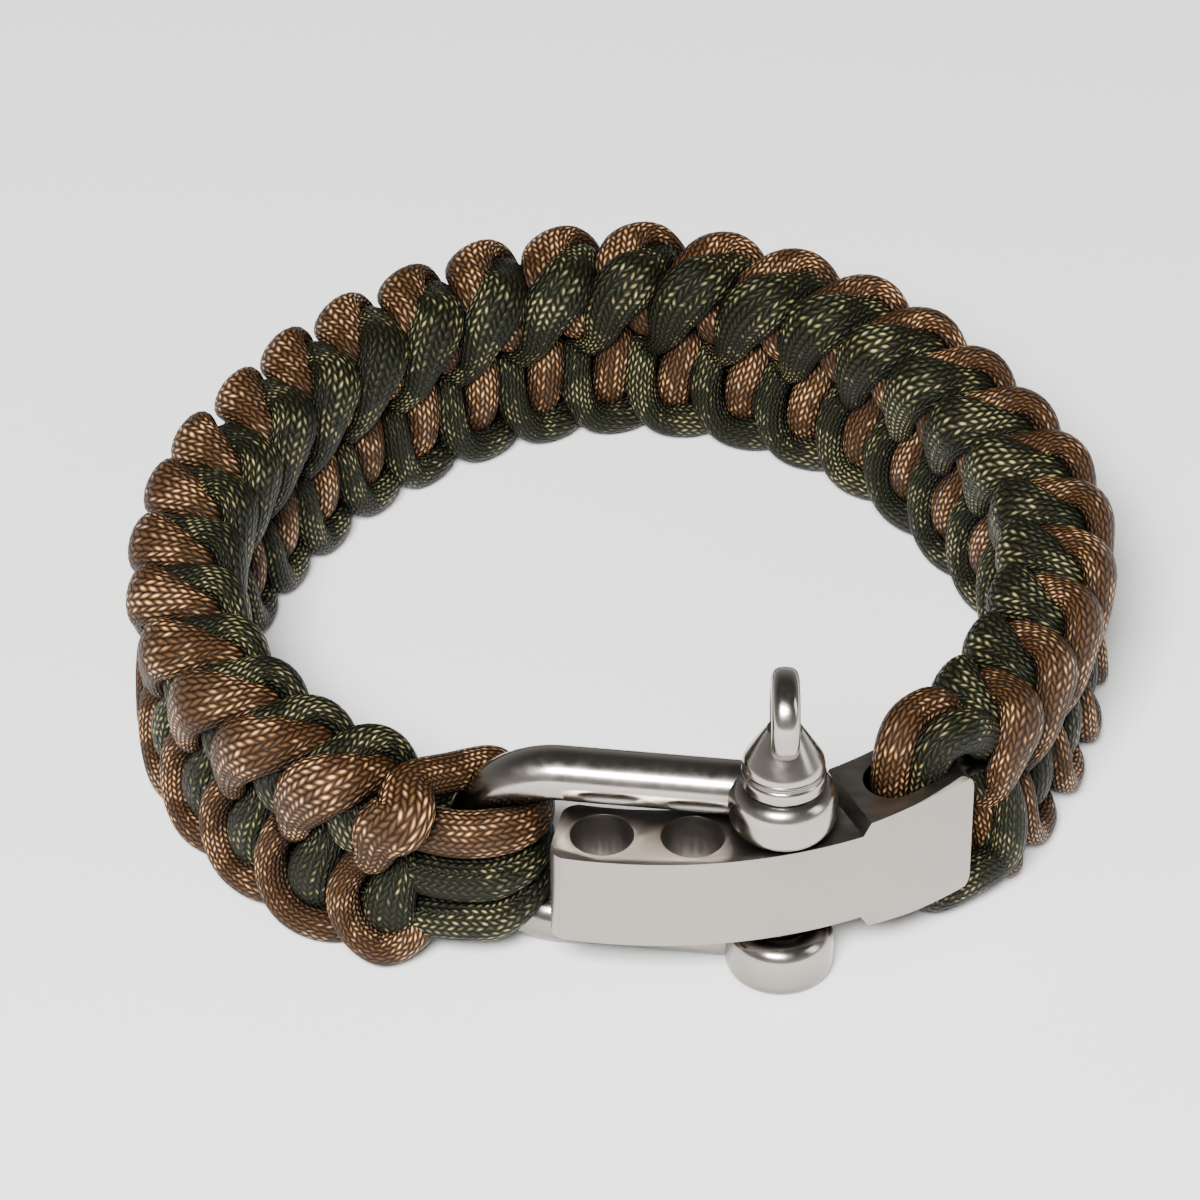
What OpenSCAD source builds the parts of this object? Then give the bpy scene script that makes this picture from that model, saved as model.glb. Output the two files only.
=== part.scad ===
// Paracord bracelet with an adjustable shackle, lying on its side.
// A closed woven band of two cords, held shut by a D-shackle whose pin goes through one of
// three holes in a curved bar. Millimetres, +Z up, the bracelet stands on z = 0.

/* [Wrist] */
// Mean radius of the opening for the wrist
wrist_r = 32.9; // [28:0.1:38]
// Distance of the ring's centre to the left of the middle of the whole bracelet
centre_left = 0.525; // [0:0.025:1]
// Distance of the ring's centre behind the middle of the whole bracelet
centre_back = 0.5; // [0:0.05:2]

/* [Woven band] */
// Height of the band from edge to edge
band_h = 19.5; // [17:0.5:22]
// Thickness of the band, from the wrist side to the outer side
band_t = 10.5; // [9:0.5:12]
// Number of knots along the band
knots = 27; // [22:1:32]
// Depth of the grooves between the strands
groove = 1.3; // [0.6:0.1:1.6]
// Direction from the ring's centre to the end of the band beside the bar, in degrees
band_from = -45; // [-46:0.5:-40]
// Direction from the ring's centre to the end of the band beside the bow, in degrees
band_to = 241.5; // [238:0.5:242]

/* [Shackle bow] */
// Thickness of the bow's wire
wire_d = 4.7; // [4:0.1:5]
// Opening between the two legs of the bow
bow_gap = 10.8; // [10.2:0.1:12]
// Length of the bow, from the pin's axis to the middle of the wire at the closed end
bow_reach = 26.5; // [25:0.5:29]
// Distance by which the legs run nearer to the wrist than the pin's axis
leg_inset = 1.4; // [0:0.1:1.6]
// Turn of the legs away from the left-to-right line, in degrees
bow_turn = 7.5; // [5:0.5:10]
// Outer diameter of the eyes on the legs
ear_d = 9.2; // [8.6:0.1:10]
// Amount by which each eye is taller than the wire
ear_over = 0.2; // [0.1:0.05:0.3]
// Rounding of the eyes' edges
ear_round = 1.9; // [1:0.1:2.2]

/* [Shackle pin] */
// Diameter of the pin's shank
pin_d = 4.8; // [4:0.1:5]
// Radial clearance of the pin in the eyes
pin_clearance = 0.05; // [0.02:0.01:0.1]
// Diameter of the collar that sits on the upper eye
collar_d = 7.2; // [6.4:0.1:8]
// Height of the collar's round step
collar_h = 2.2; // [1.6:0.1:3]
// Depth of the groove round the collar
step_in = 0.3; // [0.1:0.1:0.5]
// Height of the cone between the step and the flat eye
cone_h = 3.4; // [2.5:0.1:4.5]
// Outer diameter of the flat eye that turns the pin
eye_d = 7.8; // [7.4:0.1:9]
// Diameter of the hole in the flat eye
eye_hole_d = 4; // [3:0.1:4.6]
// Thickness of the flat eye
eye_t = 2.4; // [2:0.1:3]
// Height of the eye's centre above the upper eye of the bow
eye_rise = 7; // [6.4:0.1:8]

/* [Adjuster bar] */
// Radius of the bar's middle line, which follows the wrist
bar_r = 36.4; // [34:0.2:44]
// Thickness of the tongue, from the wrist side to the outer side
bar_t = 7.2; // [6.8:0.1:8]
// Thickness of the wide end, whose outer side is flush with the tongue
wide_t = 7.9; // [7.2:0.1:8.4]
// Height of the narrow tongue with the pin holes
tongue_h = 8.8; // [7.5:0.1:9.4]
// Height of the wide end where it begins at the step
step_h = 11.2; // [10.5:0.1:12]
// Height of the wide end at the bar's end
wide_h = 12.6; // [12:0.1:13]
// Play between the tongue and the bow's upper eye
bar_play = 0.15; // [0.1:0.05:0.4]
// Diameter of the pin holes
hole_d = 5.4; // [5.1:0.1:5.8]
// Distance between neighbouring pin holes
hole_pitch = 7.6; // [7:0.1:8.5]
// Number of pin holes, the pin being in the one nearest the wide end
hole_count = 3; // [2:1:3]
// Metal between the last pin hole's centre and the tip of the tongue
tip_margin = 3.9; // [3.6:0.1:5]
// Distance from the pin's axis to the step up to the wide end
step_from_pin = 5.6; // [5:0.1:7]
// Distance from the pin's axis to the near end of the slot
slot_from_pin = 8; // [7.5:0.1:9]
// Length of the slot for the cords
slot_l = 7.4; // [7:0.1:8.4]
// Width of the slot for the cords
slot_w = 5.1; // [4.6:0.1:5.4]
// Metal left beyond the slot
end_wall = 1.4; // [1.2:0.1:2]
// Radius of the corners seen from the outer side
corner_r = 1.5; // [1:0.1:2.6]
// Bevel along the bar's long edges
bevel = 0.4; // [0.2:0.1:0.6]
// Distance by which the pin stands outside the band's middle line
pin_set_out = 5; // [4.6:0.1:7]
// Direction from the ring's centre to the pin, in degrees
pin_angle = -71.4; // [-73:0.2:-70]
// Turn of the bar away from the ring at the pin, in degrees
bar_turn = -2.6; // [-4:0.2:0]

/* [Cord loops] */
// Gap kept between neighbouring pieces
gap = 0.15; // [0.1:0.05:0.25]
// Share of the band's thickness by which the cords leave its end off the middle line
cord_off = 0.25; // [0.2:0.01:0.3]
// Amount by which the bow's loops fan out on their way to the band
fan_out = 0.9; // [0.6:0.1:1.1]
// Height at which the bar's cords leave the band, as a share of the band's height
high_share = 0.91; // [0.88:0.01:0.92]
// Height of the underside of the bar's cords where they come back to the band
low_z = 1.9; // [1.5:0.1:2.2]
// Thickness of the cords where the slot squeezes them
slot_cord_d = 3.3; // [3:0.1:3.4]
// Thickness of the cords where the bow squeezes them
bow_cord_d = 3.1; // [2.8:0.1:3.2]
// Height that the cords rise above the bar's wide end
loop_rise = 0.6; // [0.3:0.1:1.5]

/* [Hidden] */
$fn = 48;

brown = [0.55, 0.37, 0.24];
olive = [0.24, 0.26, 0.17];
steel = [0.75, 0.74, 0.72];

// Shape of the ring seen from above: the wrist opening's radius in twelve even directions,
// from -60 degrees on, each as a share of wrist_r.
ring_step = 30;
ring_centre = [-centre_left, centre_back];
ring_shape = [1.16, 1.06, 1.025, 0.97, 1.015, 1.045, 0.965, 0.922, 0.98, 1.07, 1.12, 1.07];

// The weave round the band's section. Columns: direction round the section in degrees
// (0 = outer side, 90 = top), lead of the strand's crest in knots, share of the groove's depth.
// The wrist side repeats it with the lead turned round.
weave = [
    [-90,  0.50, 0.5],
    [-64,  0.20, 1.0],
    [-30, -0.25, 0.8],
    [ -5, -0.75, 0.7],
    [  5, -0.85, 0.7],
    [ 30, -0.45, 0.8],
    [ 64, -0.05, 1.0],
    [ 90,  0.00, 1.1],
];

// How the band closes at its ends. Columns: distance from the end in knots, share of the section.
end_taper = [[0, 0.74], [0.2, 0.9], [0.5, 1], [1, 1]];

rings_per_knot = 6;
section_points = 24;
section_round = 0.72;

// Smooth curve through evenly spaced values, v[1] at t = 0 and v[2] at t = 1
function spline(v, t) =
    v[1] + 0.5 * t * (v[2] - v[0]
    + t * (2 * v[0] - 5 * v[1] + 4 * v[2] - v[3]
    + t * (3 * (v[1] - v[2]) + v[3] - v[0])));

// Radius of the band's middle line in direction a
function ring_r(a) =
    let (place = (a + 60) / ring_step, n = len(ring_shape), i = floor(place),
         near = [for (k = [-1:2]) ring_shape[(i + k + 2 * n) % n]])
    wrist_r * spline(near, place - i) + band_t / 2;

// Point of the middle line in direction a
function ring_point(a) = ring_centre + ring_r(a) * [cos(a), sin(a)];

// Unit vector along the middle line, counter-clockwise seen from above
function ring_along(a) = let (d = ring_point(a + 1) - ring_point(a - 1)) d / norm(d);

function outward(along) = [along[1], -along[0]];

// Lengths along the middle line, as pairs of length and direction
sweep_step = (band_to - band_from) / 144;
sweep_a = [for (i = [0:144]) band_from + i * sweep_step];
sweep_d = [for (i = [1:144]) norm(ring_point(sweep_a[i]) - ring_point(sweep_a[i - 1]))];
function running(list, i = 0, sum = 0) =
    i > len(list) ? [] : concat([sum], running(list, i + 1, sum + (i < len(list) ? list[i] : 0)));
sweep_s = running(sweep_d);
length_table = [for (i = [0:144]) [sweep_s[i], sweep_a[i]]];
band_l = sweep_s[144];
knot_pitch = band_l / knots;

// The pin, the bar's centre of curvature and the bow, seen from above
pin_r = wrist_r + band_t / 2 + pin_set_out;
pin_at = ring_centre + pin_r * [cos(pin_angle), sin(pin_angle)];
bar_face = pin_angle + bar_turn;
bar_centre = pin_at - bar_r * [cos(bar_face), sin(bar_face)];
bow_along = [-cos(bow_turn), sin(bow_turn)];
bow_inward = [sin(bow_turn), cos(bow_turn)];

// Heights
lower_leg_z = wire_d / 2;
upper_leg_z = wire_d * 1.5 + bow_gap;
bow_mid_z = (lower_leg_z + upper_leg_z) / 2;
bow_bend_r = (upper_leg_z - lower_leg_z) / 2;
bow_top = upper_leg_z + wire_d / 2;
ear_h = wire_d + ear_over;
bar_mid_z = bow_top - ear_h - bar_play - tongue_h / 2;
slot_n = (bar_t - wide_t) / 2;

// Angles along the bar, counted from the pin
function bar_angle(length) = length / bar_r * 180 / PI;
tip_r = min(corner_r, bar_t / 2 - bevel);

// Point of the bar's middle line at length s beyond the pin, and n outside the middle line
function bar_point(s, n = 0) =
    let (a = bar_face + bar_angle(s)) bar_centre + (bar_r + n) * [cos(a), sin(a)];

// Points of a smooth curve through chosen points, with three steps between neighbours
function smooth(p) =
    let (n = len(p), q = concat([2 * p[0] - p[1]], p, [2 * p[n - 1] - p[n - 2]]))
    concat([for (i = [0:n - 2], k = [0:2]) spline([for (m = [0:3]) q[i + m]], k / 3)], [p[n - 1]]);

function flat_point(p, z) = [p[0], p[1], z];

// Closed solid through rings of points, each ring turning the same way
module skin(rings) {
    m = len(rings[0]);
    last = len(rings) - 1;
    polyhedron(
        points = [for (r = rings, p = r) p],
        faces = concat(
            [for (i = [0:last - 1], j = [0:m - 1])
                [i * m + j, i * m + (j + 1) % m, (i + 1) * m + (j + 1) % m]],
            [for (i = [0:last - 1], j = [0:m - 1])
                [i * m + j, (i + 1) * m + (j + 1) % m, (i + 1) * m + j]],
            [[for (j = [0:m - 1]) m - 1 - j]],
            [[for (j = [0:m - 1]) last * m + j]]
        )
    );
}

// Point p slid in direction t onto the plane through q square to n
function slid(p, t, q, n) = p - t * ((p - q) * n) / (t * n);

// Round cord along a path between two end planes, each given as a point and a direction.
// side_hint is a direction that the path never follows.
module cord(path, d, side_hint, ends) {
    last = len(path) - 1;
    skin([for (i = [0:last])
        let (step = path[min(i + 1, last)] - path[max(i - 1, 0)], t = step / norm(step),
             c = cross(side_hint, t), across = c / norm(c), up = cross(t, across),
             end = i == 0 ? ends[0] : i == last ? ends[1] : undef)
        [for (j = [0:9]) let (p = path[i] + d / 2 * (cos(36 * j) * across + sin(36 * j) * up))
            end == undef ? p : slid(p, t, end[0], end[1])]]);
}

// One section of the band, s along the middle line from the end beside the bar
function band_ring(s) =
    let (a = lookup(s, length_table), p = ring_point(a), out = outward(ring_along(a)),
         u = s / knot_pitch - 0.5, size = lookup(min(s, band_l - s) / knot_pitch, end_taper))
    [for (j = [0:section_points - 1])
        let (turn = 360 * j / section_points - 90, c = cos(turn), w = sin(turn),
             side = turn > 90 ? -1 : 1, fold = turn > 90 ? 180 - turn : turn,
             lead = side * lookup(fold, [for (row = weave) [row[0], row[1]]]),
             depth = lookup(fold, [for (row = weave) [row[0], row[2]]]),
             cut = groove * depth * (1 - abs(cos(180 * (u - lead)))),
             n = size * (sign(c) * pow(abs(c), section_round) * band_t / 2 - cut * c),
             z = size * (sign(w) * pow(abs(w), section_round) * band_h / 2 - cut * w))
        flat_point(p + n * out, band_h / 2 + z)];

module woven_band() {
    ring_count = knots * rings_per_knot;
    color(brown) skin([for (i = [0:ring_count]) band_ring(band_l * i / ring_count)]);
}

// Point n towards the wrist from the line of the bow's legs, x from the pin
function bow_point(x, n = 0) = pin_at + (leg_inset + n) * bow_inward + x * bow_along;

// Cord round the closed end of the bow, level -1, 0 or 1 counted up from the bow's middle.
// It turns round tip_x inside the bow, and round bend_x + bow_bend_r on its way to the band.
bow_cord_r = wire_d / 2 + bow_cord_d / 2 + gap;
bow_bend_x = bow_reach - bow_bend_r;
function bow_turn_point(x, a, z) =
    flat_point(bow_point(x - bow_cord_r * cos(a), -bow_cord_r * sin(a)), z);
module bow_loop(level) {
    h = level * (bow_cord_d + gap);
    inside = bow_bend_r - bow_cord_r;
    tip_x = bow_bend_x + sqrt(max(inside * inside - h * h, 0)) + bow_cord_r;
    z = bow_mid_z + h;
    along = ring_along(band_to);
    out = outward(along);
    face = flat_point(ring_point(band_to) + gap * along, 0);
    end_z = band_h / 2 + level * (bow_cord_d + fan_out);
    near_z = (z + end_z) / 2;
    outer_n = band_t * cord_off;
    inner_n = -band_t * cord_off;
    turn_in = 80;
    pass_wire = 105;
    leave_wire = 132;
    cord(smooth(concat(
        [face + flat_point(outer_n * out, end_z)],
        [bow_turn_point(bow_reach, pass_wire, near_z)],
        [for (a = [turn_in:-turn_in * 0.4:-turn_in]) bow_turn_point(tip_x, a, z)],
        [bow_turn_point(bow_reach, -pass_wire, z), bow_turn_point(bow_reach, -leave_wire, near_z)],
        [face + flat_point(inner_n * out, end_z)]
    )), bow_cord_d, [0, 0, 1], [[face, flat_point(along, 0)], [face, flat_point(along, 0)]]);
}
module bow_loop_upper() { color(brown) bow_loop(1); }
module bow_loop_middle() { color(olive) bow_loop(0); }
module bow_loop_lower() { color(olive) bow_loop(-1); }

// Cord through the slot of the bar and back into the band. It goes up through the slot
// s_slot beyond the pin and n_slot outside the bar's middle line, and over and under the
// bar's end by the points of its table: along the bar from the slot, outside the middle
// line, and height above the bar's upper or below its lower face.
wide_top = bar_mid_z + wide_h / 2;
wide_bottom = bar_mid_z - wide_h / 2;
module bar_loop(side, s_slot, over, under) {
    along = ring_along(band_from);
    out = outward(along);
    face = flat_point(ring_point(band_from) - gap * along, 0);
    end = face + flat_point(side * band_t * cord_off * out, 0);
    r = slot_cord_d / 2;
    cord(smooth(concat(
        [end + [0, 0, band_h * high_share]],
        [for (p = over) flat_point(bar_point(s_slot + p[0], p[1]), wide_top + r + p[2])],
        [for (z = [wide_top - 0.6, bar_mid_z, wide_bottom + 0.6])
            flat_point(bar_point(s_slot, slot_n + side * 0.25), z)],
        [for (p = under) flat_point(bar_point(s_slot + p[0], p[1]), wide_bottom - r - p[2])],
        [end + [0, 0, r + low_z]]
    )), slot_cord_d, flat_point(out, 0), [[face, flat_point(along, 0)], [face, flat_point(along, 0)]]);
}
slot_mid = slot_from_pin + slot_l / 2;
slot_share = (slot_cord_d + gap) / 2;
bar_end = slot_from_pin + slot_l + end_wall;
module bar_loop_inner() {
    to_end = bar_end - slot_mid + slot_share + 0.6;
    color(brown) bar_loop(-1, slot_mid - slot_share,
        [[to_end, -2.6, loop_rise], [3.4, -2.5, loop_rise + 0.9], [1, -1.3, loop_rise + 0.4]],
        [[1, -1.4, 0.2], [3.4, -2.7, 0.6], [to_end - 0.9, -2.7, 0.6]]);
}
module bar_loop_outer() {
    to_end = bar_end - slot_mid - slot_share + 0.5;
    color(olive) bar_loop(1, slot_mid + slot_share,
        [[to_end, 1.8, loop_rise], [0.9, 1.2, loop_rise - 0.2]],
        [[0.9, 1.2, 0.2], [to_end, 1.8, 0.5]]);
}

// Eye at the end of a leg: a flat ring with rounded edges
module ear() {
    r = ear_d / 2 - ear_round;
    rotate_extrude() {
        square([r, ear_h]);
        translate([r, ear_round]) square([ear_round, ear_h - 2 * ear_round]);
        for (side = [0, 1]) translate([r, side ? ear_h - ear_round : ear_round]) intersection() {
            circle(r = ear_round);
            translate([0, side ? 0 : -ear_round]) square(ear_round);
        }
    }
}

// Frame of the bow: +X from the pin to the closed end, +Y towards the wrist
module on_bow() {
    translate([pin_at[0], pin_at[1], 0]) rotate([0, 0, 180 - bow_turn]) mirror([0, 1, 0]) children();
}
module leg(z) {
    translate([0, leg_inset, z]) rotate([0, 90, 0]) cylinder(d = wire_d, h = bow_bend_x);
}
module shackle_bow() {
    color(steel) difference() {
        union() {
            translate([pin_at[0], pin_at[1], 0]) ear();
            translate([pin_at[0], pin_at[1], bow_top - ear_h]) ear();
            on_bow() {
                leg(lower_leg_z);
                leg(upper_leg_z);
                translate([bow_bend_x, leg_inset, bow_mid_z]) intersection() {
                    rotate([90, 0, 0]) rotate_extrude() translate([bow_bend_r, 0]) circle(d = wire_d);
                    translate([0, -wire_d, -bow_top]) cube([2 * bow_bend_r, 2 * wire_d, 2 * bow_top]);
                }
            }
        }
        translate([pin_at[0], pin_at[1], -1]) cylinder(d = pin_d + 2 * pin_clearance, h = bow_top + 2);
    }
}

module shackle_pin() {
    r = collar_d / 2;
    color(steel) translate([pin_at[0], pin_at[1], 0]) difference() {
        union() {
            translate([0, 0, 0.4]) cylinder(d = pin_d, h = bow_top);
            translate([0, 0, bow_top]) {
                rotate_extrude() polygon([
                    [0, 0], [r, 0], [r, collar_h * 0.5], [r - step_in, collar_h * 0.65],
                    [r - step_in / 2, collar_h * 0.8], [r - step_in / 2, collar_h],
                    [eye_t * 0.55, collar_h + cone_h], [0, collar_h + cone_h],
                ]);
                translate([0, 0, eye_rise]) rotate([0, 90, 0]) rotate_extrude() {
                    translate([0, -eye_t / 2]) square([eye_d / 2 - eye_t / 2, eye_t]);
                    translate([eye_d / 2 - eye_t / 2, 0]) intersection() {
                        circle(d = eye_t);
                        translate([0, -eye_t / 2]) square([eye_t / 2, eye_t]);
                    }
                }
            }
        }
        translate([-eye_t, 0, bow_top + eye_rise]) rotate([0, 90, 0]) cylinder(d = eye_hole_d, h = 2 * eye_t);
    }
}

// Ring of which the bar is a stretch, with bevelled edges
module bar_ring() {
    h = wide_h / 2;
    b = bevel;
    translate([bar_centre[0], bar_centre[1], bar_mid_z]) rotate_extrude($fn = 96)
        translate([bar_r + bar_t / 2, 0]) polygon([
            [-wide_t, b - h], [b - wide_t, -h], [-b, -h], [0, b - h],
            [0, h - b], [-b, h], [b - wide_t, h], [-wide_t, h - b],
        ]);
}

// Frame on the bar's middle line at length s beyond the pin: +X towards the slot, -Y outside
module on_bar(s) {
    translate([bar_centre[0], bar_centre[1], 0]) rotate([0, 0, bar_face + bar_angle(s) + 90])
        translate([0, -bar_r, 0]) children();
}

// Points of a round corner
function arc(centre, r, from, to) =
    [for (i = [0:5]) let (a = from + (to - from) * i / 5) centre + r * [cos(a), sin(a)]];

// Sector of the tongue, with a rounded tip
module tongue_outline() {
    s_tip = tip_r - (hole_count - 1) * hole_pitch - tip_margin;
    face = bar_face + bar_angle(s_tip);
    corner = bar_t / 2 - tip_r;
    polygon(concat(
        [bar_centre],
        [bar_point(step_from_pin + 1), bar_point(step_from_pin + 1, 2 * bar_t)],
        [bar_point((step_from_pin + s_tip) / 2, 3 * bar_t), bar_point(s_tip, 2 * bar_t)],
        arc(bar_point(s_tip, corner), tip_r, face - 15, face - 90),
        arc(bar_point(s_tip, -corner), tip_r, face - 90, face - 165)
    ));
}

// Sector in which the tongue is thinner than the wide end
module thin_sector() {
    s_tip = -hole_count * hole_pitch - tip_margin;
    polygon(concat(
        [bar_centre],
        [for (i = [0:4]) bar_point(step_from_pin + (s_tip - step_from_pin) * i / 4)]
    ));
}

// Side view of the wide end, the foot of its step at x = 0
module wide_outline() {
    length = bar_end - step_from_pin;
    t = tongue_h / 2;
    w = wide_h / 2;
    c = corner_r;
    rise = step_h / 2 - t;
    slope = 0.6 * rise;
    translate([0, bar_mid_z]) polygon(concat(
        [[-slope, rise - t], [slope, -step_h / 2]],
        arc([length - c, c - w], c, -80, 0),
        arc([length - c, w - c], c, 0, 80),
        [[slope, step_h / 2], [-slope, t - rise]]
    ));
}
module side_view() {
    rotate([90, 0, 0]) linear_extrude(height = 4 * bar_t, center = true) children();
}
module adjuster_bar() {
    top = 2 * bow_top;
    flat = slot_l - slot_w;
    color(steel) difference() {
        intersection() {
            bar_ring();
            union() {
                translate([0, 0, bar_mid_z - tongue_h / 2]) linear_extrude(height = tongue_h) tongue_outline();
                on_bar(step_from_pin) side_view() wide_outline();
            }
        }
        intersection() {
            translate(bar_centre) cylinder(r = bar_r - bar_t / 2, h = top, $fn = 96);
            linear_extrude(height = top) thin_sector();
        }
        for (i = [0:hole_count - 1]) translate(bar_point(-i * hole_pitch)) cylinder(d = hole_d, h = top);
        on_bar(slot_mid) {
            for (x = [-1, 1]) translate([x * flat / 2, -slot_n, 0]) cylinder(d = slot_w, h = top);
            translate([-flat / 2, -slot_n - slot_w / 2, 0]) cube([flat, slot_w, top]);
        }
    }
}

woven_band();
bow_loop_upper();
bow_loop_middle();
bow_loop_lower();
bar_loop_inner();
bar_loop_outer();
shackle_bow();
shackle_pin();
adjuster_bar();
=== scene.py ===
"""Looks of a paracord bracelet with an adjustable steel shackle.

The CAD part gives the frame. This script lays real strands of cord where the part has one woven
solid, turns the shackle's pieces into smooth metal and photographs the bracelet in a plain studio.
Lengths are millimetres until a mesh is made. The band runs counter-clockwise seen from above.
"""

import logging
import math
from dataclasses import dataclass, field
from enum import Enum

import bmesh
import bpy
import numpy as np
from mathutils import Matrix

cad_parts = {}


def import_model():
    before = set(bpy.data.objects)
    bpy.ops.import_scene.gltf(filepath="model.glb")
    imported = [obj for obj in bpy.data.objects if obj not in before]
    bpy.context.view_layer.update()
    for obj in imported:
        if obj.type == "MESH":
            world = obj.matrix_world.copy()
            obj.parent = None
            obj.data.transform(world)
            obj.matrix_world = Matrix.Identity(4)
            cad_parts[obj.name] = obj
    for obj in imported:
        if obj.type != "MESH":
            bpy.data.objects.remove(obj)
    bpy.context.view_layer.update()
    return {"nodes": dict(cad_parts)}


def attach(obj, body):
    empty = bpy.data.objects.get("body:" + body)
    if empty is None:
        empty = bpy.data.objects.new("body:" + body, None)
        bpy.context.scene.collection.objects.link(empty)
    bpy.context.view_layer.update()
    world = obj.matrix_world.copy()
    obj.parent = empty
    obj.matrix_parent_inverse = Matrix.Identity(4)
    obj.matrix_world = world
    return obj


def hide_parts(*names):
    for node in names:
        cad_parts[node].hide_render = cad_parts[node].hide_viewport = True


MM = 0.001
LOG = logging.getLogger("bracelet")
X_AXIS, Y_AXIS, Z_AXIS = np.eye(3)

# Curve points laid between neighbouring points of a smooth curve
PER_SPAN = 12
# Points on either side over which a tube's travel, and its squeeze, are averaged
TRAVEL_REACH = 2
PRESS_REACH = 4
# Points round each kind of section
TURNED_SIDES = 96
WIRE_SIDES = 48
LOOP_SIDES = 20
STRAND_SIDES = 18
CORE_SIDES = 14

# A table of numbers, row by row
Rows = tuple[tuple[float, ...], ...]


class CordColour(Enum):
    """The two cords, by the material slot that each takes its finish from."""

    BROWN = "cord_brown"
    OLIVE = "cord_olive"


class Steel(Enum):
    """The two finishes of the shackle's steel, by material slot."""

    POLISHED = "steel_polished"
    SATIN = "steel_satin"


# Colours and nodes


def linear(hex_colour: str) -> tuple[float, float, float, float]:
    """Turns an sRGB hex colour into the linear colour that a shader takes.

    Args:
        hex_colour: six hex digits, such as "8c5f3c".

    Returns:
        Linear red, green, blue and an alpha of 1.
    """
    values = [int(hex_colour[i : i + 2], 16) / 255 for i in (0, 2, 4)]
    turned = [v / 12.92 if v <= 0.04045 else ((v + 0.055) / 1.055) ** 2.4 for v in values]
    return (turned[0], turned[1], turned[2], 1.0)


def add(tree: bpy.types.NodeTree, kind: str, settings: dict, links: dict | None = None) -> bpy.types.Node:
    """Adds one node with its settings and links.

    Args:
        tree: the node tree.
        kind: the node's type name without "ShaderNode".
        settings: property names, or input names or numbers, with their values.
        links: input names or numbers, with what feeds each: a socket, or a node's first output.

    Returns:
        The new node.
    """
    node = tree.nodes.new("ShaderNode" + kind)
    for key, value in settings.items():
        if isinstance(key, str) and hasattr(node, key):
            setattr(node, key, value)
        else:
            node.inputs[key].default_value = value
    for key, source in (links or {}).items():
        socket = source.outputs[0] if isinstance(source, bpy.types.Node) else source
        tree.links.new(socket, node.inputs[key])
    return node


def new_material(name: str) -> tuple[bpy.types.Material, bpy.types.NodeTree]:
    """Makes an empty node material.

    Args:
        name: the finish's plain name.

    Returns:
        The material and its node tree.
    """
    material = bpy.data.materials.new(name)
    material.use_nodes = True
    material.node_tree.nodes.clear()
    return material, material.node_tree


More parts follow.
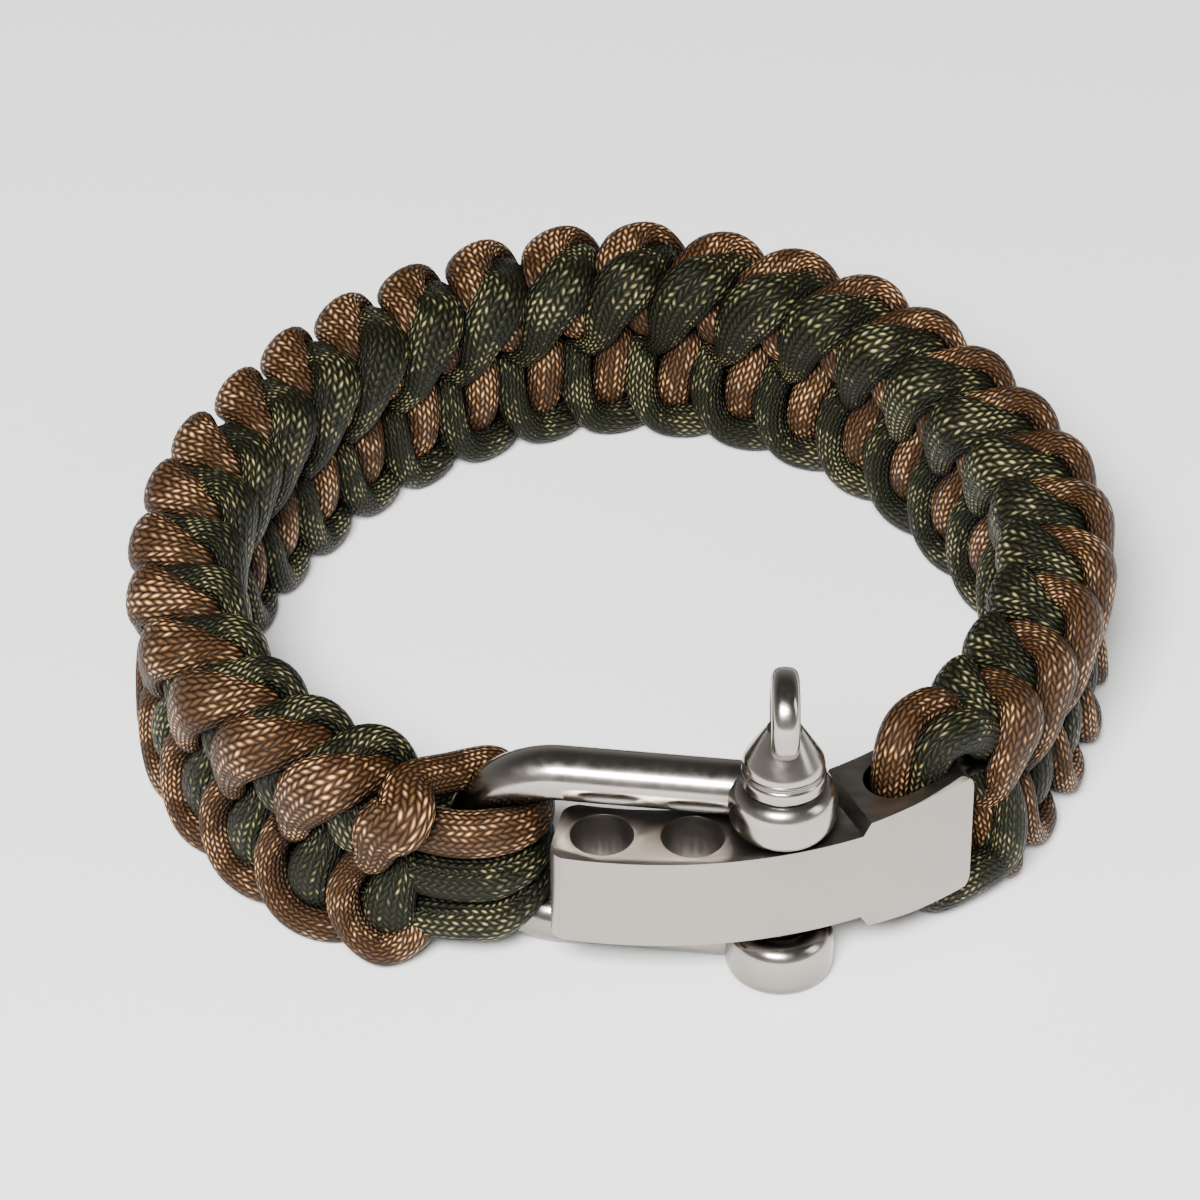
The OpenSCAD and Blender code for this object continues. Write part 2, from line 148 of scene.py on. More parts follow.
@dataclass(frozen=True)
class BraidedSheath:
    """Melt-spun nylon yarn braided into the sheath of the cord.

    Each yarn surfaces as a short leaning stitch, and neighbouring columns of stitches lean the
    other way, so the sheath shows a fine herringbone of grains. Their brightness and glints are
    painted highlights, and the dark gaps between them are painted shade. Real stitches are finer.
    These are as coarse as they need to be to show.
    """

    name: str
    # Colours of the painted shade in the gaps, of the yarn, of the yarn under painted light, and of
    # the painted highlight on a stitch's crown
    gap: str
    yarn: str
    bright: str
    glint: str
    # Columns of stitches round the cord, a stitch's length, and the share of it that it leans
    # across its column
    columns: int = 24
    stitch: float = 0.68
    lean: float = 0.6
    # Distances from a stitch's middle at which its dome, and the painted highlight on it, start and are full
    dome: tuple[float, float] = (0.62, 0.1)
    crown: tuple[float, float] = (0.34, 0.06)
    # Patches of painted light per millimetre, one every 4 mm, and the noise between which one fades in
    patches: float = 0.26
    patch_edge: tuple[float, float] = (0.4, 0.6)
    # What the patches and chance add to a stitch's painted light, and the range over which it goes
    # from none to full
    patch_light: float = 0.6
    chance: float = 0.55
    lit: tuple[float, float] = (0.5, 1.1)
    # Height of a stitch, how strongly it shows, and how far apart cords get painted shade from each other
    relief: float = 0.2
    bump: float = 0.9
    crevice: float = 2.5
    # The yarns' many small curves leave the sheath with little gloss
    roughness: float = 0.5
    ior: float = 1.53
    gloss: float = 0.12

    def material(self) -> bpy.types.Material:
        """Builds the sheath from the cord's own UV map, turns round and millimetres along.

        The map is cut into cells of one stitch. The distance from a cell's middle gives the dome
        and its crown. Painted shade fills the gaps between domes. Chance and broad patches give each
        stitch painted light and a painted highlight on its crown, and an occlusion node paints shade
        in the crevices between cords. A Mix node's colours are inputs 6 and 7, output 2.

        Returns:
            The material.
        """
        material, tree = new_material(self.name)
        uv = add(tree, "UVMap", {"uv_map": "along"})
        place = add(tree, "SeparateXYZ", {}, {0: uv})
        around = add(tree, "Math", {"operation": "MULTIPLY", 1: self.columns}, {0: place.outputs["X"]})
        column = add(tree, "Math", {"operation": "FLOOR"}, {0: around})
        across = add(tree, "Math", {"operation": "SUBTRACT"}, {0: around, 1: column})
        side = add(tree, "Math", {"operation": "SUBTRACT", 1: 0.5}, {0: across})
        odd = add(tree, "Math", {"operation": "PINGPONG", 1: 1.0}, {0: column})
        swing = {"operation": "MULTIPLY_ADD", 1: 2 * self.lean, 2: -self.lean}
        sign = add(tree, "Math", swing, {0: odd})
        leaning = add(tree, "Math", {"operation": "MULTIPLY"}, {0: side, 1: sign})
        stitches = {"operation": "MULTIPLY_ADD", 1: 1 / self.stitch}
        along = add(tree, "Math", stitches, {0: place.outputs["Y"], 2: leaning})
        shifted = add(tree, "Math", {"operation": "MULTIPLY_ADD", 1: 0.5}, {0: odd, 2: along})
        row = add(tree, "Math", {"operation": "FLOOR"}, {0: shifted})
        rest = add(tree, "Math", {"operation": "SUBTRACT"}, {0: shifted, 1: row})
        centred = add(tree, "Math", {"operation": "SUBTRACT", 1: 0.5}, {0: rest})
        spot = add(tree, "CombineXYZ", {}, {0: side, 1: centred})
        reach = add(tree, "VectorMath", {"operation": "LENGTH"}, {0: spot}).outputs["Value"]
        fade = {"interpolation_type": "SMOOTHSTEP"}
        dome = add(tree, "MapRange", {1: self.dome[0], 2: self.dome[1], **fade}, {0: reach})
        cell = add(tree, "CombineXYZ", {}, {0: column, 1: row})
        chance = add(tree, "TexWhiteNoise", {"noise_dimensions": "2D"}, {0: cell})
        in_space = add(tree, "TexCoord", {}).outputs["Object"]
        # Broad patches in which the stitches get more painted light
        patch = add(tree, "TexNoise", {"Scale": self.patches / MM, "Detail": 2.0}, {"Vector": in_space})
        edge = {1: self.patch_edge[0], 2: self.patch_edge[1], 4: self.patch_light}
        lit_patch = add(tree, "MapRange", edge, {0: patch})
        share = {"operation": "MULTIPLY_ADD", 1: self.chance}
        lit = add(tree, "Math", share, {0: chance.outputs["Value"], 2: lit_patch})
        # How much painted light each stitch gets, in its colour and in its painted highlight
        painted_light = add(tree, "MapRange", {1: self.lit[0], 2: self.lit[1]}, {0: lit})
        # Where on a stitch the painted highlight lies
        crown = add(tree, "MapRange", {1: self.crown[0], 2: self.crown[1], **fade}, {0: reach})
        glinting = add(tree, "Math", {"operation": "MULTIPLY"}, {0: crown, 1: painted_light})
        # The yarn's colour turns to its painted lit colour as the painted light grows
        yarns = {"data_type": "RGBA", 6: linear(self.yarn), 7: linear(self.bright)}
        yarn_light = add(tree, "Mix", yarns, {0: painted_light}).outputs[2]
        # Painted shade in the gaps between the stitches' domes
        woven = add(tree, "Mix", {"data_type": "RGBA", 6: linear(self.gap)}, {0: dome, 7: yarn_light}).outputs[2]
        # A painted highlight on the crown of each stitch that gets painted light
        glints = {"data_type": "RGBA", 7: linear(self.glint)}
        colour = add(tree, "Mix", glints, {0: glinting, 6: woven}).outputs[2]
        # Painted shade in the crevices where cords lie close, from an occlusion node
        dark = {"samples": 4, "Distance": self.crevice * MM}
        crevice = add(tree, "AmbientOcclusion", dark, {"Color": colour})
        bump = add(tree, "Bump", {"Strength": self.bump, "Distance": self.relief * MM}, {"Height": dome})
        gloss = {"Roughness": self.roughness, "IOR": self.ior, "Specular IOR Level": self.gloss}
        shader = add(tree, "BsdfPrincipled", gloss, {"Base Color": crevice, "Normal": bump})
        add(tree, "OutputMaterial", {}, {0: shader})
        return material


@dataclass(frozen=True)
class StainlessSteel:
    """Cast stainless steel, tumbled bright or ground to a soft satin.

    Tumbling leaves a faint orange peel and hair scratches in the gloss, grinding a veil of fine
    lines that blurs reflections.
    """

    name: str
    colour: str
    # Roughness in the middle of its range, and how far it goes to either side
    roughness: float
    spread: float
    # Stretch of the lines along each axis, and how strongly the relief shows
    grain: tuple[float, float, float]
    depth: float
    # Lines, dimples of the peel and clouds in the polish, each per millimetre before stretching
    lines: float = 1.0
    peel: float = 0.7
    clouds: float = 0.13
    # Noise between which the roughness goes through its range
    noise: tuple[float, float] = (0.45, 1.05)
    # Height of the relief, and how far apart faces get painted shade from each other in a hollow
    relief: float = 0.02
    hollow: float = 5.0

    def material(self) -> bpy.types.Material:
        """Builds the metal from fine stretched noise for the lines and broad noise for the polish.

        Hollows and corners between faces get painted shade from an occlusion node.

        Returns:
            The material.
        """
        material, tree = new_material(self.name)
        in_space = add(tree, "TexCoord", {}).outputs["Object"]
        stretched = add(tree, "Mapping", {"Scale": self.grain}, {0: in_space})
        veil = {"Scale": self.lines / MM, "Detail": 4.0, "Roughness": 0.6}
        lines = add(tree, "TexNoise", veil, {0: stretched})
        peel = add(tree, "TexNoise", {"Scale": self.peel / MM, "Detail": 2.0}, {0: in_space})
        clouds = add(tree, "TexNoise", {"Scale": self.clouds / MM, "Detail": 3.0}, {0: in_space})
        mixed = add(tree, "Math", {"operation": "MULTIPLY_ADD", 1: 0.5}, {0: clouds, 2: lines})
        low, high = self.roughness - self.spread, self.roughness + self.spread
        rough = add(tree, "MapRange", {1: self.noise[0], 2: self.noise[1], 3: low, 4: high}, {0: mixed})
        relief = add(tree, "Math", {"operation": "ADD"}, {0: lines, 1: peel})
        bump = add(tree, "Bump", {"Strength": self.depth, "Distance": self.relief * MM}, {"Height": relief})
        # Painted shade in hollows and corners, from an occlusion node
        dark = {"samples": 4, "Distance": self.hollow * MM, "Color": linear(self.colour)}
        hollow = add(tree, "AmbientOcclusion", dark)
        skin = {"Base Color": hollow, "Roughness": rough, "Normal": bump}
        shader = add(tree, "BsdfPrincipled", {"Metallic": 1.0}, skin)
        add(tree, "OutputMaterial", {}, {0: shader})
        return material


@dataclass(frozen=True)
class StudioPaper:
    """Matt white backdrop paper, uncoated, so it shows no gloss."""

    name: str = "backdrop_paper"
    colour: str = "fbfbfa"
    # Tufts of fibre per millimetre, and the roughness between them and on them
    fibres: float = 0.4
    roughness: tuple[float, float] = (0.85, 0.95)
    gloss: float = 0.1

    def material(self) -> bpy.types.Material:
        """Builds plain matt paper whose roughness follows the fibre.

        Returns:
            The material.
        """
        material, tree = new_material(self.name)
        in_space = add(tree, "TexCoord", {}).outputs["Object"]
        fibre = add(tree, "TexNoise", {"Scale": self.fibres / MM, "Detail": 3.0}, {0: in_space})
        rough = add(tree, "MapRange", {3: self.roughness[0], 4: self.roughness[1]}, {0: fibre})
        paper = {"Base Color": linear(self.colour), "Specular IOR Level": self.gloss}
        shader = add(tree, "BsdfPrincipled", paper, {"Roughness": rough})
        add(tree, "OutputMaterial", {}, {0: shader})
        return material


# Surfaces


def unit(vectors: np.ndarray) -> np.ndarray:
    """Divides each vector by its length."""
    return vectors / np.maximum(np.linalg.norm(vectors, axis=-1, keepdims=True), 1e-9)


def lengths_along(path: np.ndarray) -> np.ndarray:
    """Sums the distances between neighbouring points, from 0 at the first."""
    steps = np.linalg.norm(np.diff(path, axis=0), axis=1)
    return np.concatenate([[0.0], np.cumsum(steps)])


def resampled(path: np.ndarray, step: float) -> np.ndarray:
    """Spreads points evenly along a path.

    Args:
        path: points in order.
        step: wanted distance between neighbours.

    Returns:
        Points on the path's straight stretches, the first and last kept.
    """
    length = lengths_along(path)
    even = np.linspace(0, length[-1], max(int(round(length[-1] / step)), 2) + 1)
    return np.stack([np.interp(even, length, path[:, k]) for k in range(path.shape[1])], -1)


def smooth_curve(points: np.ndarray, per_span: int = PER_SPAN) -> np.ndarray:
    """Lays a Catmull-Rom curve through points.

    Between points b and c, with neighbours a and d, the place is b plus half of t times
    (c - a) + t (2a - 5b + 4c - d) + t squared (3 (b - c) + d - a).

    Args:
        points: points in order, any number of columns.
        per_span: curve points between neighbours.

    Returns:
        The curve's points, ending in the last point given.
    """
    ends = np.concatenate([[2 * points[0] - points[1]], points, [2 * points[-1] - points[-2]]])
    a, b, c, d = (ends[k : k + len(points) - 1, None, :] for k in range(4))
    t = np.linspace(0, 1, per_span, endpoint=False)[None, :, None]
    spans = b + 0.5 * t * (c - a + t * (2 * a - 5 * b + 4 * c - d + t * (3 * (b - c) + d - a)))
    return np.concatenate([spans.reshape(-1, points.shape[1]), points[-1:]])


def blurred(values: np.ndarray, reach: int) -> np.ndarray:
    """Averages each row with its neighbours, the ends held.

    Args:
        values: rows of numbers.
        reach: how many rows away a neighbour counts.

    Returns:
        As many rows.
    """
    padded = np.pad(values, ((reach, reach), (0, 0)), mode="edge")
    total = np.cumsum(np.concatenate([np.zeros((1, values.shape[1])), padded]), axis=0)
    return (total[2 * reach + 1 :] - total[: -2 * reach - 1]) / (2 * reach + 1)


def placed(name: str, data: bpy.types.ID) -> bpy.types.Object:
    """Makes an object and links it to the scene.

    Args:
        name: the object's name.
        data: its mesh, light or camera.

    Returns:
        The object, at the origin.
    """
    thing = bpy.data.objects.new(name, data)
    bpy.context.scene.collection.objects.link(thing)
    return thing


def mesh_of_rings(name: str, rings: np.ndarray, along: np.ndarray, closed: bool = False) -> bpy.types.Object:
    """Makes a smooth surface of quads between neighbouring rings of points.

    Ring points run counter-clockwise about the direction of travel, so faces point outwards.
    The UV map "along" holds turns round the ring and millimetres along the path.

    Args:
        name: the object's name.
        rings: points, by ring and place round the ring, in millimetres.
        along: length along the path at each ring.
        closed: whether the last ring joins the first; otherwise both ends are capped.

    Returns:
        The object, linked to the scene.
    """
    count, sides = rings.shape[:2]
    spans = count if closed else count - 1
    i, j = np.meshgrid(np.arange(spans), np.arange(sides), indexing="ij")
    here, there = i * sides, (i + 1) % count * sides
    turn = (j + 1) % sides
    faces = np.stack([here + j, here + turn, there + turn, there + j], -1).reshape(-1, 4).tolist()
    v = np.append(along, along[-1] + np.mean(np.diff(along)))
    flat_u = np.stack([j, j + 1, j + 1, j], -1).reshape(-1) / sides
    flat_v = np.stack([v[i], v[i], v[i + 1], v[i + 1]], -1).reshape(-1)
    if not closed:
        faces.append(np.arange(sides)[::-1].tolist())
        faces.append(((count - 1) * sides + np.arange(sides)).tolist())
        flat_u = np.concatenate([flat_u, np.zeros(2 * sides)])
        flat_v = np.concatenate([flat_v, np.full(sides, v[0]), np.full(sides, v[count - 1])])
    mesh = bpy.data.meshes.new(name)
    mesh.from_pydata((rings.reshape(-1, 3) * MM).tolist(), [], faces)
    layer = mesh.uv_layers.new(name="along")
    layer.data.foreach_set("uv", np.stack([flat_u, flat_v], -1).ravel().astype(np.float32))
    mesh.polygons.foreach_set("use_smooth", np.ones(len(mesh.polygons), bool))
    mesh.update()
    return placed(name, mesh)


def tube(
    name: str, path: np.ndarray, press: np.ndarray, thin: np.ndarray, wide: np.ndarray, sides: int
) -> bpy.types.Object:
    """Carries a flattened round section along a path.

    At each point the short half-axis follows the press direction, squared to the path, and the
    long one stands square to both: point + thin cos(a) press + wide sin(a) (travel x press).

    Args:
        name: the object's name.
        path: points of the middle line.
        press: direction in which the cord is squeezed, per point.
        thin: half the thickness along the press direction, per point.
        wide: half the thickness across it, per point.
        sides: points round the section.

    Returns:
        The object.
    """
    travel = unit(blurred(np.gradient(path, axis=0), TRAVEL_REACH))
    flat = press - (press * travel).sum(1, keepdims=True) * travel
    flat = blurred(unit(flat), PRESS_REACH)
    flat = unit(flat - (flat * travel).sum(1, keepdims=True) * travel)
    across = np.cross(travel, flat)
    a = np.linspace(0, 2 * math.pi, sides, endpoint=False)[None, :, None]
    short = thin[:, None, None] * np.cos(a) * flat[:, None]
    long = wide[:, None, None] * np.sin(a) * across[:, None]
    return mesh_of_rings(name, path[:, None] + short + long, lengths_along(path))


def lathe(
    name: str, profile: np.ndarray, origin: np.ndarray, axis: np.ndarray, start: np.ndarray, closed: bool
) -> bpy.types.Object:
    """Turns a profile of radius and height about an axis: origin + height axis + radius (start turned).

    Args:
        name: the object's name.
        profile: radius and height pairs, running up the outside.
        origin: point of the axis at height 0.
        axis: direction of the axis.
        start: direction square to the axis.
        closed: whether the profile is a closed loop, as for a ring; otherwise its ends are on the axis.

    Returns:
        The object.
    """
    a = np.linspace(0, 2 * math.pi, TURNED_SIDES, endpoint=False)
    radial = np.cos(a)[:, None] * start + np.sin(a)[:, None] * np.cross(axis, start)
    rings = origin + profile[:, None, 1:] * axis + profile[:, None, :1] * radial[None]
    return mesh_of_rings(name, rings, lengths_along(profile), closed)


def rounded(corners: np.ndarray, radii: np.ndarray, steps: int, closed: bool = True) -> np.ndarray:
    """Rounds the corners of a polygon by quadratic curves that start and end radius from the corner.

    Args:
        corners: points in order.
        radii: distance from each corner at which its rounding starts.
        steps: spans of each rounding.
        closed: whether the last corner joins the first; otherwise both are kept sharp.

    Returns:
        The rounded outline's points.
    """
    before = unit(np.roll(corners, 1, 0) - corners) * radii[:, None] + corners
    after = unit(np.roll(corners, -1, 0) - corners) * radii[:, None] + corners
    t = np.linspace(0, 1, steps + 1)[None, :, None]
    arcs = (1 - t) ** 2 * before[:, None] + 2 * t * (1 - t) * corners[:, None] + t**2 * after[:, None]
    if closed:
        return arcs.reshape(-1, corners.shape[1])
    return np.concatenate([corners[:1], arcs[1:-1].reshape(-1, corners.shape[1]), corners[-1:]])


# Woven band


@dataclass
class Ring:
    """Middle line of the band seen from above, an uneven ring round the wrist."""

    wrist_r: float = 32.9
    band_t: float = 10.5
    band_h: float = 19.5
    knots: int = 27
    centre: tuple[float, float] = (-0.525, 0.5)
    # Shares of the wrist's radius in evenly spread directions, and the first one's direction
    shape: tuple[float, ...] = (1.16, 1.06, 1.025, 0.97, 1.015, 1.045, 0.965, 0.922, 0.98, 1.07, 1.12, 1.07)
    shape_from: float = -60.0
    # Directions of the band's ends, beside the bar and beside the bow
    first: float = -45.0
    last: float = 243.0
    # Spans in which its length is summed, and degrees to either side that give its direction
    spans: int = 576
    aim: float = 0.7
    angles: np.ndarray = field(init=False)
    sums: np.ndarray = field(init=False)

    def __post_init__(self) -> None:
        """Adds up the length along the middle line from the end beside the bar."""
        self.angles = np.linspace(self.first, self.last, self.spans + 1)
        self.sums = lengths_along(self.place(self.angles))

    @property
    def length(self) -> float:
        """Length of the band along its middle line."""
        return float(self.sums[-1])

    @property
    def pitch(self) -> float:
        """Length of one knot along the middle line."""
        return self.length / self.knots

    def place(self, a: np.ndarray) -> np.ndarray:
        """Points of the middle line: centre + radius (cos a, sin a).

        The radius is a Catmull-Rom curve through the shares of the wrist's radius.

        Args:
            a: directions in degrees.

        Returns:
            Points seen from above.
        """
        share = np.array(self.shape)
        spot = (a - self.shape_from) / (360 / len(share))
        i = np.floor(spot).astype(int)
        t = spot - i
        b, c, d, e = (share[(i + k) % len(share)] for k in (-1, 0, 1, 2))
        curve = c + 0.5 * t * (d - b + t * (2 * b - 5 * c + 4 * d - e + t * (3 * (c - d) + e - b)))
        r = self.wrist_r * curve + self.band_t / 2
        turn = np.radians(a)
        return np.array(self.centre) + r[:, None] * np.stack([np.cos(turn), np.sin(turn)], -1)

    def at(self, s: np.ndarray) -> tuple[np.ndarray, np.ndarray]:
        """Middle line seen from above, straight beyond both ends.

        Args:
            s: lengths along it.

        Returns:
            Points and directions outwards.
        """
        held = np.clip(s, 0, self.length)
        a = np.interp(held, self.sums, self.angles)
        along = unit(self.place(a + self.aim) - self.place(a - self.aim))
        return self.place(a) + (s - held)[:, None] * along, np.stack([along[:, 1], -along[:, 0]], -1)

    def lifted(self, band: np.ndarray) -> np.ndarray:
        """Places points given in the band's own coordinates.

        Args:
            band: length along, distance outwards and height over the mid-height.

        Returns:
            Points in space.
        """
        point, out = self.at(band[:, 0])
        flat = point + band[:, 1:2] * out
        return np.column_stack([flat, band[:, 2] + self.band_h / 2])

    def turned(self, s: np.ndarray, direction: np.ndarray) -> np.ndarray:
        """Turns directions given as outwards and upwards into directions in space."""
        _, out = self.at(s)
        return np.column_stack([direction[:, :1] * out, direction[:, 1]])


@dataclass
class WovenBand:
    """Two cords looped round each other from edge to edge, round four straight core strands.

    The brown cord's way through one knot is drawn. The olive cord goes the same way with
    the length along and the distance outwards both turned round.
    """

    ring: Ring
    # Way through one knot: shares of the pitch along, of edge_reach upwards and of side_reach
    # outwards, then half the thickness and half the width
    way: Rows = (
        (0.32, 0.80, -0.45, 1.60, 2.00), (0.17, 0.93, 0.00, 1.60, 2.10), (0.05, 0.93, 0.68, 1.60, 2.45),
        (-0.13, 0.82, 1.15, 1.50, 2.80), (-0.30, 0.62, 1.20, 1.40, 2.75), (-0.42, 0.42, 1.18, 1.35, 2.35),
        (-0.53, 0.21, 1.00, 1.25, 1.70), (-0.60, 0.09, 0.62, 1.25, 1.30), (-0.72, 0.03, 0.32, 1.40, 1.60),
        (-0.85, -0.03, 0.50, 1.60, 1.60), (-0.90, -0.18, 0.85, 1.65, 1.40), (-0.88, -0.38, 1.00, 1.65, 1.35),
        (-0.81, -0.62, 1.06, 1.65, 1.30), (-0.65, -0.84, 1.06, 1.65, 1.35), (-0.40, -0.95, 1.02, 1.60, 1.45),
        (-0.15, -0.97, 0.85, 1.70, 1.60), (0.08, -0.94, 0.50, 1.70, 1.70), (0.25, -0.85, -0.15, 1.60, 1.80),
        (0.36, -0.66, -0.74, 1.45, 1.95), (0.35, -0.42, -0.90, 1.45, 2.05), (0.31, -0.18, -0.86, 1.45, 1.95),
        (0.27, 0.04, -0.55, 1.40, 1.70), (0.34, 0.15, -0.20, 1.40, 1.60), (0.48, 0.12, 0.00, 1.40, 1.60),
        (0.61, 0.07, -0.28, 1.40, 1.60), (0.70, 0.14, -0.64, 1.40, 1.80), (0.80, 0.34, -0.84, 1.40, 1.90),
        (0.93, 0.58, -0.76, 1.40, 2.00), (1.13, 0.74, -0.62, 1.40, 2.00),
    )
    edge_reach: float = 9.75
    side_reach: float = 3.25
    # Share by which the way is drawn in at the edges, and the points that one knot is laid in
    edge_fold: float = 0.2
    knot_points: int = 96
    # Rounds of pushing strands apart, and half the distance that they keep
    rounds: int = 120
    apart: float = 1.55
    # Shares of its overlap, of its way home and of the way to its neighbours that a point moves
    push: float = 0.5
    pull: float = 0.12
    ease: float = 0.15
    # How much more a distance outwards counts, and the stretch of its own cord that leaves a
    # point alone, in half distances kept
    flatter: float = 1.5
    kin_reach: float = 3.2
    # How far a cord's middle may go to either side, down and up
    side_limit: float = 4.0
    low_limit: float = -7.9
    high_limit: float = 8.1
    # Distance between the points of a laid cord, and its unevenness along, outwards and upwards
    step: float = 0.5
    uneven: tuple[float, float, float] = (0.14, 0.06, 0.11)
    uneven_per_knot: int = 7
    seed: int = 7
    # How sharply the cords turn in at the ends, and how far they reach on at the bow's end, in
    # all and on the outer side, which is reached at outer_at from the middle
    end_turn: float = 0.9
    overrun: float = 1.0
    outer_overrun: float = 4.0
    outer_at: float = 2.5
    # Distances from an end, and the share of its depth and height that the weave has there
    end_taper: Rows = ((-3.0, 0.5), (0.0, 0.85), (1.5, 0.97), (3.0, 1.0))
    # Distance outwards below which a cord has gone through to the wrist side
    wrist_side: float = -0.8
    # Half depth and half height of the oval that the cords are squeezed against
    core_oval: tuple[float, float] = (3.2, 7.4)
    # Share of its width that each cord keeps in the lower half, from low_at under mid-height on
    brown_low_width: float = 0.9
    olive_low_width: float = 1.15
    low_at: float = 3.0
    # Core strands: heights, half the thickness and the width, distance from the ends, and points
    core_rows: tuple[float, ...] = (-5.9, -2.0, 2.0, 5.9)
    core_thin: float = 1.5
    core_wide: float = 1.8
    core_inset: float = 0.8
    core_points: int = 380
    # Way of the brown cord beyond the band, which build finds
    last_knot: np.ndarray = field(init=False)

    def drawn(self) -> np.ndarray:
        """One knot of the brown cord as drawn.

        Returns:
            Columns: length along, distance outwards, height, half the thickness squeezed towards
            the core and half the width across, in millimetres.
        """
        share = np.array(self.way)
        along, out = share[:, 0] * self.ring.pitch, share[:, 2] * self.side_reach
        up = self.edge_reach * share[:, 1] * (1 - self.edge_fold * share[:, 1] ** 4)
        points = np.column_stack([along, out, up, share[:, 3:]])
        hop = np.array([self.ring.pitch, 0, 0, 0, 0])
        curve = smooth_curve(np.concatenate([points - hop, points, points + hop]))
        laid = len(points) * PER_SPAN
        one = curve[laid : 2 * laid + 1]
        return resampled(one, lengths_along(one)[-1] / self.knot_points)[: self.knot_points]

    def mirrored(self, cell: np.ndarray) -> np.ndarray:
        """Turns a knot of one cord into the knot of the other that goes with it.

        Args:
            cell: one cord's knot.

        Returns:
            The other's, with its points in the order of travel.
        """
        turned = cell.copy()
        turned[:, :2] *= -1
        return turned[::-1]

    def relaxed(self, cell: np.ndarray) -> np.ndarray:
        """Pushes the strands of a knot apart where they overlap, and pulls them towards their drawn way.

        Each round moves a point by a share of the mean of its overlaps, by one of its way home,
        and by one of the way to the middle of its neighbours.

        Args:
            cell: the knot as drawn.

        Returns:
            The knot's points.
        """
        count = len(cell)
        hop = np.array([self.ring.pitch, 0, 0])
        spacing = lengths_along(cell)[-1] / count
        index = np.arange(count)
        shifts = (-2, -1, 0, 1, 2)
        gaps = np.concatenate([np.abs(index[:, None] - (index[None] + k * count)) for k in shifts], axis=1)
        kin = gaps * spacing < self.kin_reach * self.apart
        home = cell[:, :3]
        cord = home.copy()
        for _ in range(self.rounds):
            other = self.mirrored(cord)
            near = np.concatenate([cord + k * hop for k in shifts] + [other + k * hop for k in range(-3, 4)])
            away = cord[:, None] - near[None]
            distance = np.linalg.norm(away * [1, self.flatter, 1], axis=2) + 1e-9
            distance[:, : kin.shape[1]][kin] = np.inf
            overlap = np.clip(2 * self.apart - distance, 0, None)
            push = (away / distance[..., None] * overlap[..., None]).sum(1)
            cord = cord + self.push * push / np.maximum((overlap > 0).sum(1), 1)[:, None]
            cord += self.pull * (home - cord)
            before, after = np.vstack([cord[-1:] - hop, cord[:-1]]), np.vstack([cord[1:], cord[:1] + hop])
            cord += self.ease * ((before + after) / 2 - cord)
            cord[:, 1] = np.clip(cord[:, 1], -self.side_limit, self.side_limit)
            cord[:, 2] = np.clip(cord[:, 2], self.low_limit, self.high_limit)
        return np.column_stack([cord, cell[:, 3:]])

    def laid(self, cell: np.ndarray, seed: int) -> np.ndarray:
        """Repeats a knot along the band, unevenly as by hand, and tucks the cord in at both ends.

        Beyond an end the length is drawn in by w ln(1 + exp(d / w)), d being the distance from
        the end and w end_turn, and the section shrinks towards the core. One knot more is laid
        than the band has: at the bow's end its outer half reaches on over the loops.

        Args:
            cell: one knot.
            seed: seed of the unevenness.

        Returns:
            The columns of a knot, for the whole cord.
        """
        knots, pitch, length = self.ring.knots, self.ring.pitch, self.ring.length
        hops = (np.arange(knots + 1) + 0.5)[:, None, None] * np.array([pitch, 0, 0, 0, 0])
        path = (cell[None] + hops).reshape(-1, 5)
        path = resampled(smooth_curve(path[::2], per_span=4), self.step)
        random = np.random.default_rng(seed)
        wander = smooth_curve(random.normal(0, 1, (knots * self.uneven_per_knot, 3)))
        picks = np.linspace(0, len(wander) - 1, len(path)).astype(int)
        path[:, :3] += wander[picks] * self.uneven
        first_half = path[:, 0] < length / 2
        near_end = np.minimum(path[:, 0], length - path[:, 0])
        outer = np.clip(path[:, 1] / self.outer_at, 0, 1)
        reach_on = np.where(first_half, 0.0, self.outer_overrun * outer)
        over = np.where(first_half, 0.0, self.overrun) + reach_on
        drawn_in = self.end_turn * np.log1p(np.exp((near_end + over) / self.end_turn)) - over
        path[:, 0] = np.where(first_half, drawn_in, length - drawn_in)
        path[:, 1:3] *= np.interp(near_end + reach_on, *np.transpose(self.end_taper))[:, None]
        return path

    def inward(self, path: np.ndarray, cut: int) -> int:
        """Finds where a cord goes to the wrist side, from a third of the way between a cut and its end."""
        start = cut + (len(path) - cut) // 3
        return start + int(np.argmax(path[start:, 1] < self.wrist_side))

    def squeeze(self, band: np.ndarray) -> np.ndarray:
        """Directions in which a cord is squeezed, square to the oval round the core.

        Args:
            band: the cord's way, as length along, distance outwards and height.

        Returns:
            Directions in space.
        """
        depth, height = self.core_oval
        facing = unit(np.stack([band[:, 1] / depth**2, band[:, 2] / height**2], -1))
        return self.ring.turned(band[:, 0], facing)

    def strand(self, name: str, band: np.ndarray, low_width: float) -> bpy.types.Object:
        """Carries the cord's flattened section along its way, squeezed towards the band's core.

        Args:
            name: the object's name.
            band: the cord's way and half sizes.
            low_width: share of its width that the cord keeps in the band's lower half.

        Returns:
            The strand.
        """
        low = np.clip(-band[:, 2] / self.low_at, 0, 1)
        path = blurred(self.ring.lifted(band), reach=1)
        wide = band[:, 4] * (1 - low + low * low_width)
        return tube(name, path, self.squeeze(band), band[:, 3], wide, STRAND_SIDES)

